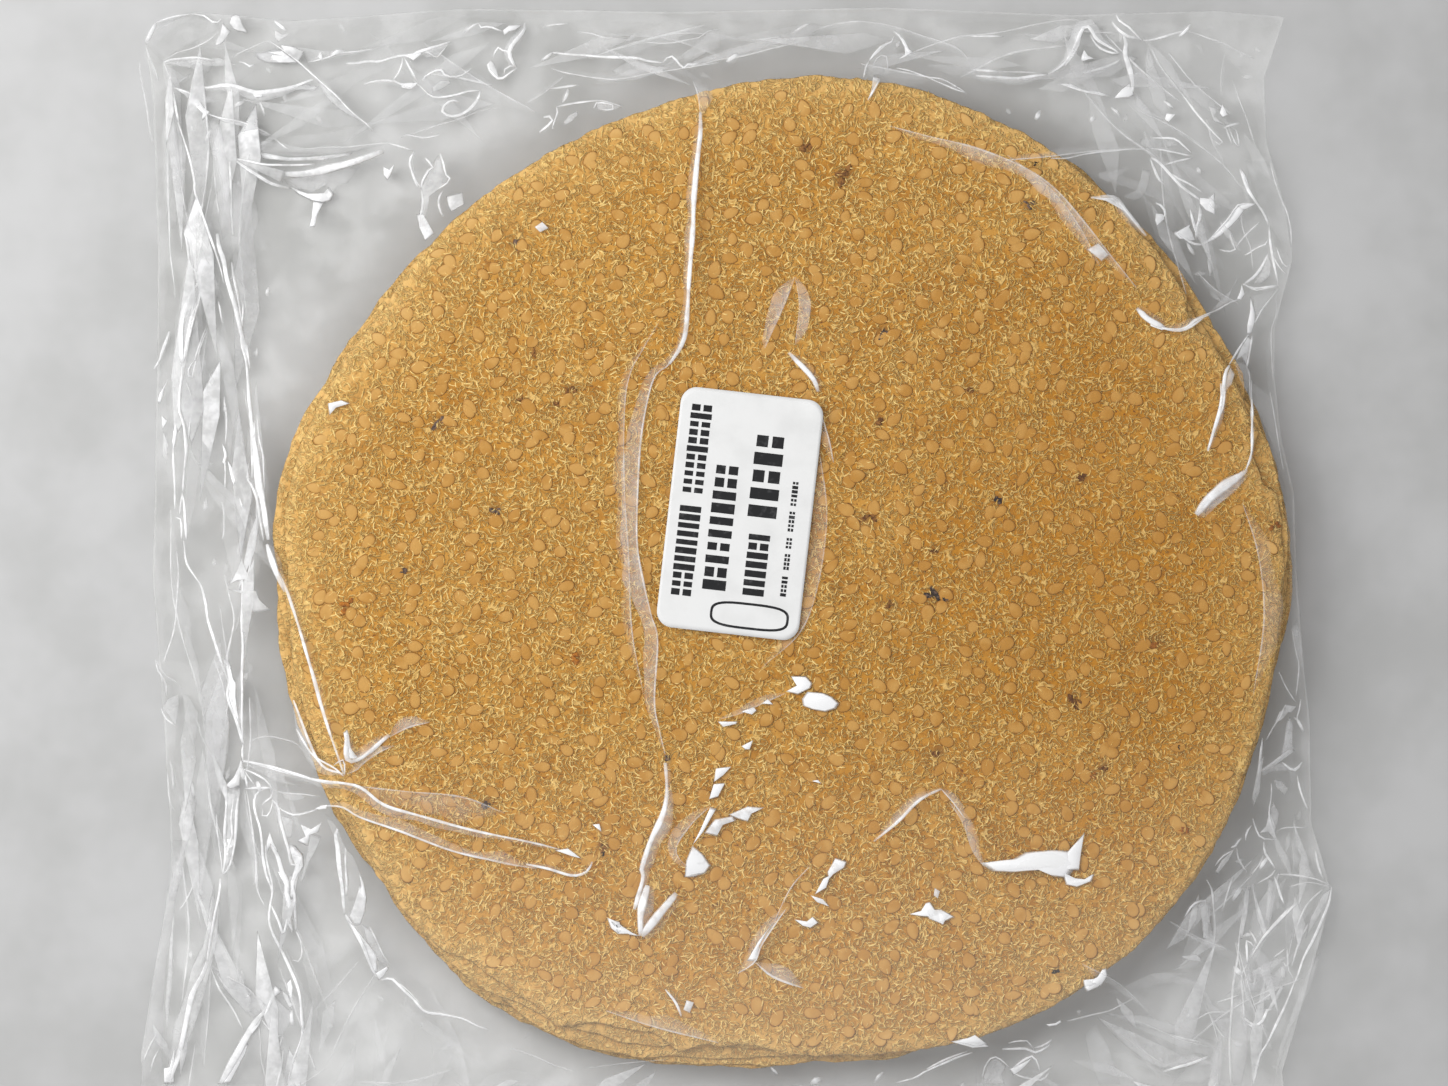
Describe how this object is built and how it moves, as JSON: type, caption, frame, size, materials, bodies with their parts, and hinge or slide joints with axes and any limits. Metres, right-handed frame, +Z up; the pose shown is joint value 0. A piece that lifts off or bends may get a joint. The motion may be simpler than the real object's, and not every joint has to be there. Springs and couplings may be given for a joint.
{
  "type": "bagged stack of sesame papadums",
  "caption": "Round stack of thin sesame papadums sealed in a flat, crinkled clear bag, with a white paper label on top.",
  "frame": {"origin": "on the flat underside, below the middle of the stack", "axes": "+Z up through the stack, +Y towards the top end of the label, +X to the right of the label"},
  "size_m": [0.2236, 0.2248, 0.0137],
  "materials": {
    "film": "thin clear film, glossy and crinkled",
    "label_paper": "smooth white label paper",
    "label_print": "black print, plain bars only",
    "papadum": "dried golden dough, dull with a slight sheen, rough with shreds and seeds",
    "sesame": "pale sesame seeds with a soft sheen"
  },
  "bodies": {
    "root": {"bag": "film", "label": "label_paper"}
  },
  "joints": []
}
